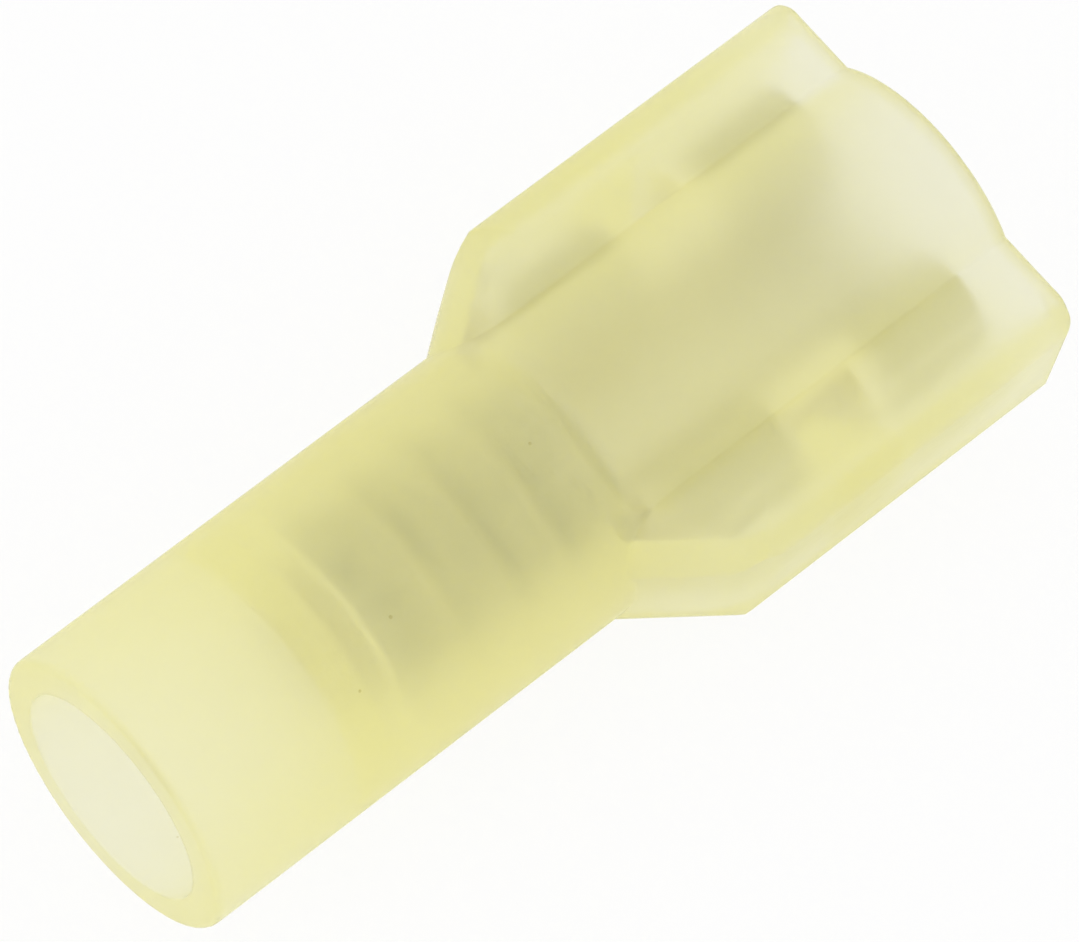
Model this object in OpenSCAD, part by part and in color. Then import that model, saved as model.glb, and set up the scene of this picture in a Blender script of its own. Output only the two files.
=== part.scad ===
// Fully insulated female spade terminal (quick-connect receptacle) for 4 to 6 mm2 wire.
// One translucent nylon housing holds one stamped, rolled and tin-plated brass terminal.
// Frame: X runs along the wire from its entry to the mating end, Z is up, and the origin
// is on the barrel's axis, in the plane of the wire entry. The part is symmetrical about XZ.
// Lengths are in millimetres.

/* [Wire entry] */
// Bore that the insulated wire goes into
wire_bore_d = 5.32; // [5:0.02:5.6]
// Depth of that bore
wire_bore_len = 4.2; // [3:0.1:6]
// Length of the funnel that gathers the strands
funnel_len = 1.1; // [0.8:0.1:1.6]
// Length of the narrow throat between the funnel and the terminal
throat_len = 0.6; // [0.3:0.1:1]
// How much wider than the crimp barrel's bore the throat is, on the radius
throat_ease = 0.25; // [0.2:0.01:0.3]

/* [Housing] */
// Outside diameter of the barrel, and of the domes along the hood
barrel_d = 7; // [6.6:0.1:7.4]
// Width of the hood
hood_w = 10; // [9.8:0.1:10.6]
// Height of the hood between its flat faces
hood_h = 4.56; // [4.5:0.02:5]
// Length of the hood at its full width
hood_len = 9.28; // [8.4:0.02:11]
// Wall of the hood and of its domes
hood_wall = 0.75; // [0.6:0.05:0.8]
// Radius of the hood's long edges
hood_edge_r = 1.15; // [0.9:0.05:1.3]
// Angle between the barrel and the shoulder, in degrees
shoulder_angle = 36; // [32:1:42]
// Radius between the shoulder and the side of the hood, seen from above
shoulder_r = 2.5; // [2.4:0.1:2.6]
// Radius of the shoulder's top and bottom edges
shoulder_edge_r = 1.5; // [1.2:0.1:1.8]
// How far the crimp barrel reaches past the start of the shoulder
shoulder_lap = 0.83; // [0.6:0.01:1]
// Rounding round the outside of the wire entry
entry_round = 0.2; // [0.1:0.05:0.3]
// Rounding round the outside of the mating end
mouth_round = 0.2; // [0.1:0.05:0.25]
// Lead-in chamfer round the inside of the mating end
mouth_chamfer = 0.2; // [0.1:0.05:0.25]

/* [Retention bumps] */
// Length of the bumps in the hood's side walls
bump_len = 1.85; // [1.4:0.05:1.85]
// How far a bump overlaps the metal that it holds back
bump_catch = 0.8; // [0.3:0.05:0.9]
// Height of a bump
bump_h = 2.2; // [1.4:0.1:2.4]

/* [Mating tab] */
// Width of the tab
tab_w = 6.35; // [6.2:0.01:6.4]
// Thickness of the tab
tab_t = 0.8; // [0.7:0.01:0.9]

/* [Crimp barrel] */
// Thickness of the brass sheet
stock_t = 0.5; // [0.4:0.05:0.55]
// Bore for the bare conductor
crimp_bore_d = 3.6; // [3.4:0.1:3.8]
// Length of the crimp barrel
crimp_len = 6.84; // [6.5:0.02:8]
// Width of the groove along the brazed butt seam on top
seam_w = 0.2; // [0.1:0.02:0.3]
// Depth of that groove
seam_depth = 0.05; // [0.02:0.01:0.1]
// Number of rings pressed into the barrel
ring_count = 4; // [2:1:4]
// Distance between the rings
ring_pitch = 1.47; // [1.3:0.01:1.5]
// Distance from the barrel's end to its first ring
ring_start = 1.8; // [1.2:0.05:2]
// Length of the steep front side of a ring's groove
ring_front = 0.2; // [0.1:0.02:0.4]
// Length of the gentle rear side, along which the barrel tapers into the groove
ring_taper = 1.1; // [0.6:0.05:1.1]
// Depth of a ring's groove
ring_depth = 0.2; // [0.06:0.01:0.2]

/* [Receptacle] */
// Height from the underside of the floor plate to the top of the curls
receptacle_h = 2.98; // [2.9:0.02:3]
// Outside radius of the curls
curl_r = 1.3; // [1.1:0.05:1.4]
// Outside radius of the bends beside the floor plate
bend_r = 0.8; // [0.7:0.05:0.9]
// How far the receptacle stands back inside the hood
recess = 1.3; // [0.8:0.1:1.8]
// Length of the full-width curls behind the side notches
rear_curl_len = 2.63; // [2.3:0.01:2.8]
// Length of the side notches that the bumps sit in
notch_len = 1.95; // [1.9:0.05:2.2]
// Half the width that is left between the notches
notch_half_w = 2.65; // [2.4:0.05:2.8]
// Height of the detent in the floor plate
detent_h = 0.22; // [0.1:0.02:0.3]
// Distance of the detent from the receptacle's front edge
detent_inset = 3.3; // [2.5:0.1:4]
// Chamfer of the front edges that guide the tab in
tab_lead = 0.25; // [0.15:0.05:0.3]

/* [Fits] */
// Radial clearance round the crimp barrel in its seat
seat_clear = 0.05; // [0.03:0.01:0.1]
// Gap between the throat's end and the crimp barrel
end_gap = 0.06; // [0.04:0.01:0.1]
// Gap between the hood's inner floor and the floor plate
floor_gap = 0.02; // [0.01:0.01:0.05]
// How far the receptacle's rear ends stand clear of the line that follows the shoulder
rear_clear = 0.28; // [0.1:0.02:0.4]
// Clearance between the tab's edges and the receptacle's walls, both sides together
tab_clear = 0.25; // [0.15:0.05:0.3]
// How much tighter than the tab the relaxed curls stand
tab_grip = 0.04; // [0:0.01:0.1]
// Gap between a bump's steep face and the metal behind it
bump_gap = 0.05; // [0.03:0.01:0.1]

/* [Hidden] */
$fn = 96;
over = 0.5;                 // how far a cutter runs past the face that it opens
edge_skin = 0.03;           // the shoulder's rounding starts this far outside its plane, so that they cross
seam_turn = 2.8;            // degrees that the seam of revolved faces is turned from the lowest line
tab_lead_slope = 0.75;      // rise of the tab's lead-in, as a share of its length
detent_sheets = 3;          // radius of the detent's ball, in sheet thicknesses
bump_flat = 1 / 3;          // share of a bump's length at its full depth
bump_nose = 1 / 4;          // chamfer of a bump's tip, as a share of its catch
reach = 60;                 // longer than the part, for the solids that only trim others

barrel_r = barrel_d / 2;
wire_bore_r = wire_bore_d / 2;
crimp_bore_r = crimp_bore_d / 2;
crimp_r = crimp_bore_r + stock_t;
crimp_mid_r = crimp_bore_r + stock_t / 2;
seat_r = crimp_r + seat_clear;
throat_r = crimp_bore_r + throat_ease;
channel_r = barrel_r - hood_wall;

// Stations along X
seat_x = wire_bore_len + funnel_len + throat_len;
crimp_x = seat_x + end_gap;
crimp_end_x = crimp_x + crimp_len;
shoulder_x = crimp_end_x - shoulder_lap;
hood_x = shoulder_x + (hood_w - barrel_d) / 2 / tan(shoulder_angle);
overall_len = hood_x + hood_len;
receptacle_end_x = overall_len - recess;
channel_x = shoulder_x + stock_t - (channel_r - seat_r);

// Half sizes of the space inside the hood
cavity_half_w = hood_w / 2 - hood_wall;
cavity_half_h = hood_h / 2 - hood_wall;

// The receptacle lies just above the cavity's floor
plate_z = floor_gap - cavity_half_h;
plate_top_z = plate_z + stock_t;
receptacle_w = tab_w + tab_clear + 2 * stock_t;
receptacle_x = crimp_end_x + stock_t / 4;
curl_y = receptacle_w / 2 - curl_r;
curl_z = plate_z + receptacle_h - curl_r;
lip_z = plate_top_z + tab_t - tab_grip;
metal_inset = hood_w / 2 - receptacle_w / 2;
notch_x = hood_x + rear_curl_len;
bump_x = notch_x + bump_gap;
bump_tip_y = receptacle_w / 2 - bump_catch;

// Extrudes a YZ outline along X, from x0 for a length
module along_x(x0, length) {
    translate([x0, 0, 0]) rotate([90, 0, 90]) linear_extrude(length) children();
}

// Revolves an outline about the X axis: its first coordinate is the radius, its second is X
module about_x() {
    rotate([0, 90, 0]) rotate([0, 0, seam_turn]) rotate_extrude() children();
}

// Cylinder or cone on the X axis
module round_x(x0, length, r_start, r_end) {
    translate([x0, 0, 0]) rotate([0, 90, 0]) cylinder(h = length, r1 = r_start, r2 = r_end);
}

// Rectangle centred on the origin with rounded corners
module rounded_rect(w, h, r) {
    square([w - 2 * r, h], center = true);
    square([w, h - 2 * r], center = true);
    for (sy = [-1, 1], sz = [-1, 1]) {
        translate([sy * (w / 2 - r), sz * (h / 2 - r)]) circle(r);
    }
}

// Hood seen from above, all its sides moved inwards by inset
module hood_plan(inset, x_end) {
    half_w = hood_w / 2 - inset;
    blend_r = shoulder_r - inset;
    // where the moved shoulder line meets the moved side
    corner_x = hood_x + inset * tan(shoulder_angle / 2);
    run_x = half_w / tan(shoulder_angle);
    if (blend_r > 0) {
        cut = blend_r * tan(shoulder_angle / 2);
        near_x = corner_x - cut * cos(shoulder_angle);
        near_y = half_w - cut * sin(shoulder_angle);
        polygon([
            [corner_x - run_x, 0], [near_x, near_y], [corner_x + cut, half_w], [x_end, half_w],
            [x_end, -half_w], [corner_x + cut, -half_w], [near_x, -near_y]
        ]);
        for (sy = [-1, 1]) {
            translate([corner_x + cut, sy * (half_w - blend_r)]) circle(blend_r);
        }
    } else {
        polygon([
            [corner_x - run_x, 0], [corner_x, half_w], [x_end, half_w],
            [x_end, -half_w], [corner_x, -half_w]
        ]);
    }
}

// Everything inside one shoulder's plane, with that plane's upper and lower edges rounded
module shoulder_limit(sy) {
    translate([shoulder_x, sy * (barrel_r + edge_skin), 0]) rotate([0, 0, sy * shoulder_angle])
        along_x(-reach, 2 * reach) translate([-sy * reach / 2, 0])
            rounded_rect(reach, hood_h, shoulder_edge_r);
}

// Everything behind the mating end, with the outer edges of that end rounded
module mouth_limit() {
    back = 2 * overall_len;
    intersection() {
        linear_extrude(hood_h + 2 * over, center = true)
            translate([overall_len - back / 2, 0]) rounded_rect(back, hood_w, mouth_round);
        rotate([90, 0, 0]) linear_extrude(hood_w + 2 * over, center = true)
            translate([overall_len - back / 2, 0]) rounded_rect(back, hood_h, mouth_round);
    }
}

// Flat part of the hood, solid
module hood_block() {
    intersection() {
        mouth_limit();
        along_x(shoulder_x - barrel_r, overall_len - shoulder_x + barrel_r)
            rounded_rect(hood_w, hood_h, hood_edge_r);
        linear_extrude(hood_h + 2 * over, center = true) hood_plan(0, overall_len + over);
        shoulder_limit(-1);
        shoulder_limit(1);
    }
}

// Barrel, solid, running on as the domes above and below the hood
module barrel_block() {
    about_x() {
        square([barrel_r - max(entry_round, mouth_round), overall_len]);
        translate([0, entry_round]) square([barrel_r, overall_len - entry_round - mouth_round]);
        translate([barrel_r - entry_round, entry_round]) circle(entry_round);
        translate([barrel_r - mouth_round, overall_len - mouth_round]) circle(mouth_round);
    }
}

// Space inside the flat part of the hood
module hood_cavity() {
    intersection() {
        along_x(shoulder_x, overall_len - shoulder_x + over)
            rounded_rect(2 * cavity_half_w, 2 * cavity_half_h, hood_edge_r - hood_wall);
        linear_extrude(hood_h, center = true) hood_plan(hood_wall, overall_len + 2 * over);
    }
}

// Chamfer round the inside of the mating end: a cone in the domes, four slopes in the flat part
module mouth_lead_in() {
    x0 = overall_len - mouth_chamfer;
    wide = mouth_chamfer + over;
    round_x(x0, wide, channel_r, channel_r + wide);
    intersection() {
        linear_extrude(hood_h, center = true) polygon([
            [x0, cavity_half_w], [x0 + wide, cavity_half_w + wide],
            [x0 + wide, -cavity_half_w - wide], [x0, -cavity_half_w]
        ]);
        rotate([90, 0, 0]) linear_extrude(2 * hood_w, center = true) polygon([
            [x0, cavity_half_h], [x0 + wide, cavity_half_h + wide],
            [x0 + wide, -cavity_half_h - wide], [x0, -cavity_half_h]
        ]);
    }
}

// Wedge in a side wall: steep towards the barrel, sloping towards the mating end
module retention_bump(sy) {
    root_y = cavity_half_w + hood_wall / 2;
    nose = bump_catch * bump_nose;
    linear_extrude(bump_h, center = true) polygon([
        [bump_x, sy * root_y], [bump_x, sy * (bump_tip_y + nose)],
        [bump_x + nose, sy * bump_tip_y], [bump_x + bump_len * bump_flat, sy * bump_tip_y],
        [bump_x + bump_len, sy * cavity_half_w], [bump_x + bump_len, sy * root_y]
    ]);
}

module housing() {
    color([0.93, 0.9, 0.62], 0.75) {
        difference() {
            union() {
                barrel_block();
                hood_block();
            }
            round_x(-over, wire_bore_len + over, wire_bore_r, wire_bore_r);
            round_x(wire_bore_len, funnel_len, wire_bore_r, throat_r);
            round_x(wire_bore_len, seat_x - wire_bore_len + over, throat_r, throat_r);
            round_x(seat_x, channel_x - seat_x + over, seat_r, seat_r);
            round_x(channel_x, channel_r - seat_r, seat_r, channel_r);
            round_x(channel_x + channel_r - seat_r, overall_len, channel_r, channel_r);
            hood_cavity();
            mouth_lead_in();
        }
        for (sy = [-1, 1]) retention_bump(sy);
    }
}

// V-shaped ring about the X axis: its point is at x, depth away from its base at radius r,
// and the base reaches from back behind the point to front ahead of it
module v_ring(x, r, depth, back, front) {
    about_x() polygon([[r, x - back], [r + depth, x], [r, x + front]]);
}

// Rolled tube with a brazed seam on top, rings pressed in from outside and serrations inside
module crimp_barrel() {
    difference() {
        round_x(crimp_x, crimp_len, crimp_r, crimp_r);
        round_x(crimp_x - over, crimp_len + 2 * over, crimp_bore_r, crimp_bore_r);
        along_x(crimp_x - over, crimp_len + 2 * over) polygon([
            [0, crimp_r - seam_depth], [seam_w, crimp_r + seam_depth],
            [-seam_w, crimp_r + seam_depth]
        ]);
        for (i = [0 : ring_count - 1]) {
            x = crimp_x + ring_start + i * ring_pitch;
            v_ring(x, crimp_r, -ring_depth, ring_taper, ring_front);
            if (i > 0) v_ring(x - ring_pitch / 2, crimp_bore_r, ring_depth, ring_front, ring_front);
        }
    }
}

// Outline of a tray: flat floor, rounded lower corners, sides up to top_z
module tray(w, r, floor_z, top_z) {
    translate([-w / 2, floor_z + r]) square([w, top_z - floor_z - r]);
    translate([-w / 2 + r, floor_z]) square([w - 2 * r, top_z - floor_z]);
    for (sy = [-1, 1]) translate([sy * (w / 2 - r), floor_z + r]) circle(r);
}

// Receptacle seen from its end: floor plate, bends, walls and the two curls with their lips
module receptacle_outline() {
    difference() {
        tray(receptacle_w, bend_r, plate_z, curl_z);
        tray(receptacle_w - 2 * stock_t, bend_r - stock_t, plate_top_z, curl_z + over);
    }
    for (sy = [-1, 1]) {
        translate([sy * curl_y, curl_z]) intersection() {
            difference() {
                circle(curl_r);
                circle(curl_r - stock_t);
            }
            translate([-curl_r, 0]) square([2 * curl_r, curl_r]);
        }
        translate([sy * (curl_y - curl_r + stock_t / 2), lip_z + stock_t / 2]) {
            translate([-stock_t / 2, 0]) square([stock_t, curl_z - lip_z - stock_t / 2]);
            circle(stock_t / 2);
        }
    }
}

// Wedge that opens the slot's front edges for the tab
module tab_lead_in() {
    x0 = receptacle_end_x - 2 * tab_lead;
    x1 = receptacle_end_x + tab_lead;
    lift = tab_lead * tab_lead_slope;
    rotate([90, 0, 0]) linear_extrude(tab_w, center = true) polygon([
        [x0, lip_z], [x1, lip_z + 2 * lift], [x1, plate_top_z - lift], [x0, plate_top_z]
    ]);
}

// Curled receptacle: rear ends cut along the shoulder, notches at the sides, detent in the floor
module receptacle() {
    detent_x = receptacle_end_x - detent_inset;
    detent_r = detent_sheets * stock_t;
    difference() {
        union() {
            intersection() {
                along_x(receptacle_x, receptacle_end_x - receptacle_x) receptacle_outline();
                linear_extrude(hood_h, center = true) translate([rear_clear, 0])
                    hood_plan(metal_inset, overall_len);
            }
            intersection() {
                translate([detent_x, 0, plate_top_z + detent_h - detent_r]) sphere(detent_r);
                translate([detent_x, 0, plate_z + receptacle_h / 2])
                    cube([4 * detent_r, 4 * detent_r, receptacle_h], center = true);
            }
        }
        translate([detent_x, 0, plate_z + detent_h - detent_r]) sphere(detent_r);
        for (sy = [-1, 1]) {
            translate([notch_x, sy > 0 ? notch_half_w : -receptacle_w, -hood_h])
                cube([notch_len, receptacle_w - notch_half_w, 2 * hood_h]);
        }
        tab_lead_in();
    }
}

// Neck: the sheet unrolls from the underside of the crimp barrel into the floor plate.
// u runs along X and v across the sheet; both ends lie inside the pieces that they join.
neck_skin = 0.02;           // the neck is this much thinner on each face
neck_bite = 1.4;            // how many sheet thicknesses it reaches into the floor plate
neck_x0 = crimp_end_x - stock_t;
neck_x1 = receptacle_x + neck_bite * stock_t;
neck_wrap = 80;             // half the angle that it covers round the barrel, in degrees
neck_half_0 = crimp_mid_r * neck_wrap * PI / 180;
neck_half_1 = (receptacle_w - 2 * bend_r) / 2 - stock_t;
neck_rows = 10;
neck_cols = 12;

function ease(u) = u * u * (3 - 2 * u);
function mix(a, b, e) = a + (b - a) * e;

// One point of the sheet, on its lower face for side = -1 and on its upper face for side = 1
function neck_point(u, v, side) =
    let (
        e = ease(u),
        bow = mix(1 / crimp_mid_r, 1 / reach / reach, e),
        s = v * mix(neck_half_0, neck_half_1, e),
        turn = bow * s * 180 / PI,
        rise = (1 - cos(turn)) / bow,
        base_z = mix(-crimp_mid_r, plate_z + stock_t / 2, e),
        half_t = side * (stock_t / 2 - neck_skin)
    )
    [mix(neck_x0, neck_x1, u), sin(turn) / bow - half_t * sin(turn), base_z + rise + half_t * cos(turn)];

module neck() {
    wide = neck_cols + 1;
    face = (neck_rows + 1) * wide;
    points = [
        for (side = [-1, 1], i = [0 : neck_rows], j = [0 : neck_cols])
            neck_point(i / neck_rows, 2 * j / neck_cols - 1, side)
    ];
    // corner numbers of the cell (i, j) on one face
    function cell(i, j, side) = [for (c = [[0, 0], [0, 1], [1, 1], [1, 0]])
        side * face + (i + c[0]) * wide + j + c[1]];
    // a quadrilateral as two triangles
    function halves(q) = [[q[2], q[1], q[0]], [q[3], q[2], q[0]]];
    function flip(q) = [q[3], q[2], q[1], q[0]];
    // wall between the two faces along the edge from point a to point b of the lower face
    function wall(a, b) = halves([a, b, b + face, a + face]);
    last = neck_rows * wide;
    triangles = [
        for (i = [0 : neck_rows - 1], j = [0 : neck_cols - 1]) each
            concat(halves(cell(i, j, 0)), halves(flip(cell(i, j, 1)))),
        for (j = [0 : neck_cols - 1]) each concat(wall(j + 1, j), wall(last + j, last + j + 1)),
        for (i = [0 : neck_rows - 1]) each
            concat(wall(i * wide, (i + 1) * wide), wall((i + 2) * wide - 1, (i + 1) * wide - 1))
    ];
    polyhedron(points, triangles, convexity = 4);
}

module terminal() {
    color([0.8, 0.79, 0.72]) {
        crimp_barrel();
        neck();
        receptacle();
    }
}

housing();
terminal();
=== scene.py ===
"""Looks of the insulated female spade terminal: a translucent nylon housing over a tinned brass terminal.

Everything is in metres, in the part's own frame: X runs from the wire entry to the mating end, Z is up.
"""
import math

import bpy
from mathutils import Matrix, Vector


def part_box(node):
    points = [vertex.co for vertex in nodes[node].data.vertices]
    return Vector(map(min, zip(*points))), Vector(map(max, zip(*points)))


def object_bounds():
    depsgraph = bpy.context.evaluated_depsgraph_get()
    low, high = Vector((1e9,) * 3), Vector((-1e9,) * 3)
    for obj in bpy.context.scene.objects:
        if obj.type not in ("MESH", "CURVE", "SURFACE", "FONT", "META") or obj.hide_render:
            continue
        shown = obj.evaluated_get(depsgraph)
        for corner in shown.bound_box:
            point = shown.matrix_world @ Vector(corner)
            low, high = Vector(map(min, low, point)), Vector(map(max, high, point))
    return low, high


MM = 0.001

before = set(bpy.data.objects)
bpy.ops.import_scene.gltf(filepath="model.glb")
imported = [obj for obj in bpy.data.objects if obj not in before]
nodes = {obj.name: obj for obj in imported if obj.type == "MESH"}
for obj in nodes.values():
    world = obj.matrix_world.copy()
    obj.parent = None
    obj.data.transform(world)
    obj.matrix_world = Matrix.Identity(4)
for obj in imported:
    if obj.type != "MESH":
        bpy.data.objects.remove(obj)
cad_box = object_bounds()
crimp_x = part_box("terminal")[0][0]
front_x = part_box("terminal")[1][0]

# Where the camera stands, seen from the part's axis near its middle
VIEW_AIM = (11.5 * MM, 0, 0)
VIEW_AZIMUTH = -57.6      # degrees round Z, 0 looks along +Y
VIEW_ELEVATION = 64.6     # degrees above the horizon
VIEW_ROLL = 17.9          # degrees, the part leans across the frame
VIEW_DISTANCE = 200 * MM
VIEW_SLIDE = (0.558 * MM, 0.496 * MM)   # along the camera's right and up
VIEW_REACH = (10 * MM, 10.0)            # nearest and farthest that it sees
LENS = 307.1              # focal length and sensor width in millimetres
SENSOR = 36.0

# The nylon
NYLON_IOR = 1.53
TURN_LENGTH = 1.25 * MM   # how far light goes in it before it is scattered
YELLOWING = 230.0         # absorption per metre
GRAIN = 0.35 * MM         # width of the mould's grain as drawn
CREASE = 0.12 * MM        # how far an edge looks softened
FLOW_MARK = 2.5 * MM      # width of the shinier and duller clouds
SPECK_PITCH = 1.6 * MM    # mean distance between places where a speck can be

# The crimp barrel and its pressed rings
CRIMP_LEN = 6.84 * MM
RINGS = 4
RING_START = 1.8 * MM     # from the wire end to the first groove
RING_PITCH = 1.47 * MM
BARREL_SKIN = (1.9 * MM, 2.1 * MM)   # radii inside the barrel's sheet, from bore side to outside
SHADED_SIDE = (0, -0.12, 0.99)      # the side of the barrel that gets painted shade, its upper side
SHADED_SIDE_EDGE = (0.2, 0.85)           # how far a face turns to that side, from unshaded to fully shaded
NECK_FADE = 1.0 * MM                 # over which the barrel's tin turns into the receptacle's
BLOTCH = 1.1 * MM                    # width of a lighter or darker spot in the painted shade

# How much painted shade darkens the tin along the barrel, as (share of its length, 0 none to 1 full shade)
WIRE_END_SHADE = [(0.0, 0.95), (0.06, 0.85), (0.16, 0.7)]
GROOVE_SHADE = [(-0.03, 0.6), (-0.005, 0.3), (0.035, 1.0), (0.08, 0.72)]   # shares before and past a groove
FRONT_SHADE = [(0.985, 0.45), (0.999, 0.25)]   # stands for the end of the last groove's taper

# The receptacle, with distances back from its front edge and out from the part's middle plane
NOTCH_BACK = 5.35 * MM
NOTCH_BACK_FADE = (-0.3 * MM, 0.1 * MM)
NOTCH_FRONT = 3.4 * MM
NOTCH_FRONT_FADE = 1.0 * MM
FRONT_DARKENING = (4 * MM, 1 * MM)             # where the plate begins to turn darker, and where it is fully darker
TOP_SKIN = (0.98 * MM, 1.1 * MM)     # heights inside the sheet of the curls' tops, under side to upper side
WALL_SKIN = (3.4 * MM, 3.6 * MM)     # distances inside the sheet of the walls, inside to outside
CURL_LIPS = (1.6 * MM, 1.8 * MM)     # distances at which the space under the curls begins
DRAWN_LINE = 0.06 * MM               # width of the sheet's drawing lines as drawn

# The room
SKY_LIGHT = 0.93
FLOOR_LIGHT = 0.87        # what the nylon and the metal see of the floor, 1 is white
FLOOR_PLAIN = 0.88        # share of plain white in the floor as it is looked at, the rest takes the shadow
FLOOR_REACH = 1.0         # from its middle to each edge


def linear(colour):
    """An sRGB hex colour as linear RGBA."""
    parts = [int(colour[i:i + 2], 16) / 255 for i in (1, 3, 5)]
    return tuple(c / 12.92 if c <= 0.04045 else ((c + 0.055) / 1.055) ** 2.4 for c in parts) + (1.0,)


def add(tree, kind, links=None, sockets=None, **settings):
    """Adds a node, sets its properties and sockets by name or number, and links {socket: output}."""
    node = tree.nodes.new(kind)
    for name, value in settings.items():
        setattr(node, name, value)
    for name, value in (sockets or {}).items():
        node.inputs[name].default_value = value
    for name, output in (links or {}).items():
        tree.links.new(output, node.inputs[name])
    return node


def material(name):
    """An empty material with its node tree and output node."""
    made = bpy.data.materials.new(name)
    made.use_nodes = True
    made.node_tree.nodes.clear()
    return made, made.node_tree, made.node_tree.nodes.new("ShaderNodeOutputMaterial")


def moulded_nylon():
    """Nylon 6/6, injection moulded in a spark-eroded mould: a satin skin with a fine grain and a slightly
    uneven gloss, creases softened by the mould, a milky glow that turns yellow where the wall is thick, and
    here and there a tiny speck of burnt resin. The mould's grain of about 0.02 mm is too fine to show, so it
    is drawn at 0.35 mm."""
    made, tree, out = material("moulded_nylon")
    place = tree.nodes.new("ShaderNodeTexCoord").outputs["Object"]

    grain = add(tree, "ShaderNodeTexNoise", links={"Vector": place},
                sockets={"Scale": 1 / GRAIN, "Detail": 3.0, "Roughness": 0.6})
    soft_crease = add(tree, "ShaderNodeBevel", samples=4, sockets={"Radius": CREASE})
    satin = add(tree, "ShaderNodeBump", sockets={"Strength": 0.5, "Distance": 0.01 * MM},
                links={"Height": grain.outputs["Fac"], "Normal": soft_crease.outputs[0]})
    flow = add(tree, "ShaderNodeTexNoise", links={"Vector": place},
               sockets={"Scale": 1 / FLOW_MARK, "Detail": 2.0})
    gloss = add(tree, "ShaderNodeMapRange", links={"Value": flow.outputs["Fac"]},
                sockets={"From Min": 0.3, "From Max": 0.7, "To Min": 0.36, "To Max": 0.46})

    # A speck of burnt resin in one place of five
    resin = add(tree, "ShaderNodeTexVoronoi", links={"Vector": place}, sockets={"Scale": 1 / SPECK_PITCH})
    dot = add(tree, "ShaderNodeMapRange", links={"Value": resin.outputs["Distance"]},
              sockets={"From Min": 0.02, "From Max": 0.035, "To Min": 1.0, "To Max": 0.0})
    chance = add(tree, "ShaderNodeSeparateColor", links={0: resin.outputs["Color"]})
    one_in_five = add(tree, "ShaderNodeMath", operation="GREATER_THAN",
                      links={0: chance.outputs[0]}, sockets={1: 0.8})
    speck = add(tree, "ShaderNodeMath", operation="MULTIPLY",
                links={0: dot.outputs[0], 1: one_in_five.outputs[0]})
    tint = add(tree, "ShaderNodeMix", data_type="RGBA", links={0: speck.outputs[0]},
               sockets={6: linear("#ffffff"), 7: linear("#cdc8ac")})

    skin = add(tree, "ShaderNodeBsdfPrincipled", links={
        "Normal": satin.outputs[0], "Base Color": tint.outputs[2], "Roughness": gloss.outputs[0]},
        sockets={"IOR": NYLON_IOR, "Transmission Weight": 1.0})
    milk = add(tree, "ShaderNodeVolumeScatter",
               sockets={"Color": linear("#ffffff"), "Density": 1 / TURN_LENGTH, "Anisotropy": 0.5})
    yellow = add(tree, "ShaderNodeVolumeAbsorption",
                 sockets={"Color": linear("#fffc93"), "Density": YELLOWING})
    body = add(tree, "ShaderNodeAddShader", links={0: milk.outputs[0], 1: yellow.outputs[0]})
    tree.links.new(skin.outputs[0], out.inputs["Surface"])
    tree.links.new(body.outputs[0], out.inputs["Volume"])
    return made


def painted_groove_shade(tree, place, along):
    """Painted shade on the tin of the crimp barrel's upper side, where it lies close under the nylon: darkest
    on the shaded wall just past each ring's groove, fading towards the next one, and uneven from spot to
    spot."""
    share = add(tree, "ShaderNodeMapRange", links={"Value": along},
                sockets={"From Min": crimp_x, "From Max": crimp_x + CRIMP_LEN})
    shade_ramp = add(tree, "ShaderNodeValToRGB", links={"Fac": share.outputs[0]})
    stops = list(WIRE_END_SHADE)
    for ring in range(RINGS):
        groove = (RING_START + ring * RING_PITCH) / CRIMP_LEN
        stops += [(groove + step, value) for step, value in GROOVE_SHADE]
    stops[-1:] = FRONT_SHADE
    for end in shade_ramp.color_ramp.elements:
        end.color = (0, 0, 0, 1)
    for spot, value in stops:
        shade_ramp.color_ramp.elements.new(spot).color = (value, value, value, 1)

    across = add(tree, "ShaderNodeVectorMath", operation="MULTIPLY", links={0: place}, sockets={1: (0, 1, 1)})
    radius = add(tree, "ShaderNodeVectorMath", operation="LENGTH", links={0: across.outputs[0]})
    outside = add(tree, "ShaderNodeMapRange", links={"Value": radius.outputs["Value"]},
                  sockets={"From Min": BARREL_SKIN[0], "From Max": BARREL_SKIN[1]})
    outward = add(tree, "ShaderNodeVectorMath", operation="NORMALIZE", links={0: across.outputs[0]})
    turned = add(tree, "ShaderNodeVectorMath", operation="DOT_PRODUCT", links={0: outward.outputs[0]},
                 sockets={1: SHADED_SIDE})
    upper = add(tree, "ShaderNodeMapRange", interpolation_type="SMOOTHSTEP",
                links={"Value": turned.outputs["Value"]},
                sockets={"From Min": SHADED_SIDE_EDGE[0], "From Max": SHADED_SIDE_EDGE[1]})
    blotch = add(tree, "ShaderNodeTexNoise", links={"Vector": place},
                 sockets={"Scale": 1 / BLOTCH, "Detail": 1.0})
    uneven = add(tree, "ShaderNodeMapRange", links={"Value": blotch.outputs["Fac"]},
                 sockets={"From Min": 0.35, "From Max": 0.65, "To Min": 0.75, "To Max": 1.1})

    shade = shade_ramp.outputs["Color"]
    for part in (outside, upper, uneven):
        shade = add(tree, "ShaderNodeMath", operation="MULTIPLY",
                    links={0: shade, 1: part.outputs[0]}).outputs[0]
    return shade


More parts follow.
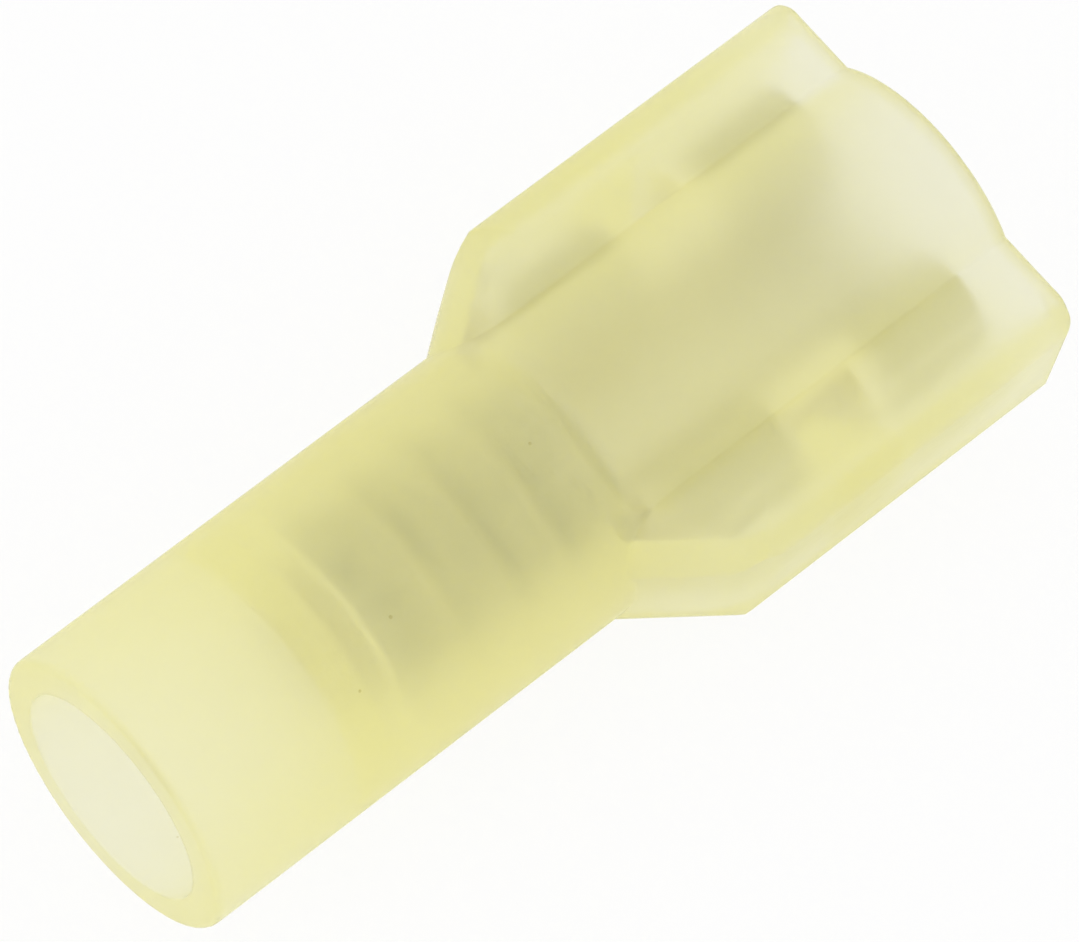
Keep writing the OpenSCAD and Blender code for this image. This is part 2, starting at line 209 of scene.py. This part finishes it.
def receptacle_tin(tree, along, aside, height):
    """The tin of the receptacle: lighter under the curls, which is painted light where their tunnels are in
    shade, a little darker towards the front of the floor plate, and darker on the curls' outer faces ahead of
    and behind the notches."""
    toward_front = add(tree, "ShaderNodeMapRange", links={"Value": along}, interpolation_type="SMOOTHSTEP",
                sockets={"From Min": front_x - FRONT_DARKENING[0], "From Max": front_x - FRONT_DARKENING[1]})
    plate = add(tree, "ShaderNodeMix", data_type="RGBA", links={0: toward_front.outputs[0]},
                sockets={6: linear("#e8e6d2"), 7: linear("#d3d1bd")})
    # Painted light: the tin under the curls is drawn lighter where their tunnels are in shade
    under_curl = add(tree, "ShaderNodeMapRange", links={"Value": aside},
                     sockets={"From Min": CURL_LIPS[0], "From Max": CURL_LIPS[1]})
    inside = add(tree, "ShaderNodeMix", data_type="RGBA", sockets={7: linear("#f6f4e6")},
                 links={0: under_curl.outputs[0], 6: plate.outputs[2]})

    top = add(tree, "ShaderNodeMapRange", links={"Value": height},
              sockets={"From Min": TOP_SKIN[0], "From Max": TOP_SKIN[1]})
    wall = add(tree, "ShaderNodeMapRange", links={"Value": aside},
               sockets={"From Min": WALL_SKIN[0], "From Max": WALL_SKIN[1]})
    outer = add(tree, "ShaderNodeMath", operation="MAXIMUM", links={0: top.outputs[0], 1: wall.outputs[0]})
    notch_x = front_x - NOTCH_BACK
    notch_end_x = front_x - NOTCH_FRONT
    behind = add(tree, "ShaderNodeMapRange", links={"Value": along}, interpolation_type="SMOOTHSTEP",
                 sockets={"From Min": notch_x + NOTCH_BACK_FADE[0], "From Max": notch_x + NOTCH_BACK_FADE[1],
                          "To Min": 1.0, "To Max": 0.0})
    ahead = add(tree, "ShaderNodeMapRange", links={"Value": along}, interpolation_type="SMOOTHSTEP",
                sockets={"From Min": notch_end_x, "From Max": notch_end_x + NOTCH_FRONT_FADE})
    beside = add(tree, "ShaderNodeMath", operation="MAXIMUM",
                 links={0: behind.outputs[0], 1: ahead.outputs[0]})
    rolled = add(tree, "ShaderNodeMath", operation="MULTIPLY",
                 links={0: outer.outputs[0], 1: beside.outputs[0]})
    return add(tree, "ShaderNodeMix", data_type="RGBA", sockets={7: linear("#cfcdb4")},
               links={0: rolled.outputs[0], 6: inside.outputs[2]}).outputs[2]


def tinned_brass():
    """Brass sheet, drawn, stamped, rolled and matt tin plated: a soft warm silver with faint lines along the
    part. The drawing lines are finer than 0.01 mm and are drawn 0.06 mm wide, so that they show."""
    made, tree, out = material("tinned_brass")
    place = tree.nodes.new("ShaderNodeTexCoord").outputs["Object"]
    split = add(tree, "ShaderNodeSeparateXYZ", links={0: place})
    along = split.outputs["X"]
    aside = add(tree, "ShaderNodeMath", operation="ABSOLUTE", links={0: split.outputs["Y"]})

    past_barrel = add(tree, "ShaderNodeMapRange", links={"Value": along}, sockets={
        "From Min": crimp_x + CRIMP_LEN, "From Max": crimp_x + CRIMP_LEN + NECK_FADE})
    tin = add(tree, "ShaderNodeMix", data_type="RGBA", sockets={6: linear("#e6e3d6")}, links={
        0: past_barrel.outputs[0], 7: receptacle_tin(tree, along, aside.outputs[0], split.outputs["Z"])})
    # The dark grey is painted shade on the crimp barrel's ring grooves and upper side
    colour = add(tree, "ShaderNodeMix", data_type="RGBA", sockets={7: linear("#8f9196")}, links={
        0: painted_groove_shade(tree, place, along), 6: tin.outputs[2]})

    stretched = add(tree, "ShaderNodeMapping", links={"Vector": place}, sockets={"Scale": (0.08, 1, 1)})
    drawn = add(tree, "ShaderNodeTexNoise", links={"Vector": stretched.outputs[0]},
                sockets={"Scale": 1 / DRAWN_LINE, "Detail": 2.0})
    matt = add(tree, "ShaderNodeMapRange", links={"Value": drawn.outputs["Fac"]},
               sockets={"From Min": 0.3, "From Max": 0.7, "To Min": 0.32, "To Max": 0.46})
    lines = add(tree, "ShaderNodeBump", links={"Height": drawn.outputs["Fac"]},
                sockets={"Strength": 0.4, "Distance": 0.004 * MM})
    sheet = add(tree, "ShaderNodeBsdfPrincipled", sockets={"Metallic": 1.0}, links={
        "Base Color": colour.outputs[2], "Roughness": matt.outputs[0], "Normal": lines.outputs[0]})
    tree.links.new(sheet.outputs[0], out.inputs["Surface"])
    return made


def white_table():
    """White lacquered board: plain white with a soft shadow when it is looked at, and a slightly calmer white
    to the nylon and the metal, which show it."""
    made, tree, out = material("white_lacquered_board")
    made.cycles.emission_sampling = "NONE"   # rays find the board by themselves, which is quicker
    path = tree.nodes.new("ShaderNodeLightPath")
    looked_at = path.outputs["Is Camera Ray"]
    lacquer = add(tree, "ShaderNodeBsdfDiffuse", sockets={"Color": linear("#fdfdfd")})
    strength = add(tree, "ShaderNodeMath", operation="MULTIPLY_ADD", links={0: looked_at},
                   sockets={1: 1 - FLOOR_LIGHT, 2: FLOOR_LIGHT})
    white = add(tree, "ShaderNodeEmission", links={"Strength": strength.outputs[0]},
                sockets={"Color": linear("#ffffff")})
    mirrored = add(tree, "ShaderNodeMath", operation="MAXIMUM",
                   links={0: path.outputs["Is Glossy Ray"], 1: path.outputs["Is Transmission Ray"]})
    plain = add(tree, "ShaderNodeMath", operation="MULTIPLY", links={0: looked_at}, sockets={1: FLOOR_PLAIN})
    share = add(tree, "ShaderNodeMath", operation="MAXIMUM",
                links={0: mirrored.outputs[0], 1: plain.outputs[0]})
    board = add(tree, "ShaderNodeMixShader", links={
        0: share.outputs[0], 1: lacquer.outputs[0], 2: white.outputs[0]})
    tree.links.new(board.outputs[0], out.inputs["Surface"])
    return made


def lay_floor(height):
    """A flat white floor under the part."""
    corners = [(x * FLOOR_REACH, y * FLOOR_REACH, height) for x, y in ((-1, -1), (1, -1), (1, 1), (-1, 1))]
    mesh = bpy.data.meshes.new("floor")
    mesh.from_pydata(corners, [], [(0, 1, 2, 3)])
    mesh.materials.append(white_table())
    floor = bpy.data.objects.new("floor", mesh)
    bpy.context.scene.collection.objects.link(floor)


def light_room(scene):
    """An even white sky, as in a light tent."""
    scene.world = bpy.data.worlds.new("light_tent")
    scene.world.use_nodes = True
    tree = scene.world.node_tree
    tree.nodes.clear()
    sky = add(tree, "ShaderNodeBackground", sockets={"Color": linear("#ffffff"), "Strength": SKY_LIGHT})
    add(tree, "ShaderNodeOutputWorld", links={"Surface": sky.outputs[0]})


def set_camera(scene):
    """A long lens that looks down on the part from the wire entry's side."""
    azimuth, elevation, roll = (math.radians(a) for a in (VIEW_AZIMUTH, VIEW_ELEVATION, VIEW_ROLL))
    back = Vector((math.sin(azimuth) * math.cos(elevation), -math.cos(azimuth) * math.cos(elevation),
                   math.sin(elevation)))
    level = Vector((math.cos(azimuth), math.sin(azimuth), 0))
    upright = back.cross(level)
    right = math.cos(roll) * level + math.sin(roll) * upright
    up = math.cos(roll) * upright - math.sin(roll) * level
    spot = Vector(VIEW_AIM) + VIEW_DISTANCE * back + VIEW_SLIDE[0] * right + VIEW_SLIDE[1] * up
    camera = bpy.data.objects.new("camera", bpy.data.cameras.new("camera"))
    camera.matrix_world = Matrix.Translation(spot) @ Matrix((right, up, back)).transposed().to_4x4()
    camera.data.lens = LENS
    camera.data.sensor_width = SENSOR
    camera.data.clip_start, camera.data.clip_end = VIEW_REACH
    scene.collection.objects.link(camera)
    bpy.context.scene.camera = camera


for name, slot, finish in (("housing", "nylon", moulded_nylon()),
                           ("terminal", "tinned_brass", tinned_brass())):
    nodes[name].data.materials.clear()
    nodes[name].data.materials.append(finish)

scene = bpy.context.scene
lay_floor(cad_box[0][2])
light_room(scene)
set_camera(scene)
scene.view_settings.view_transform = "Standard"

# Light turns many times in the milky nylon before it comes out again
scene.cycles.volume_bounces = 32
scene.cycles.transmission_bounces = 48
scene.cycles.glossy_bounces = 48
scene.cycles.max_bounces = 48
scene.cycles.diffuse_bounces = 16
scene.cycles.blur_glossy = 0.0
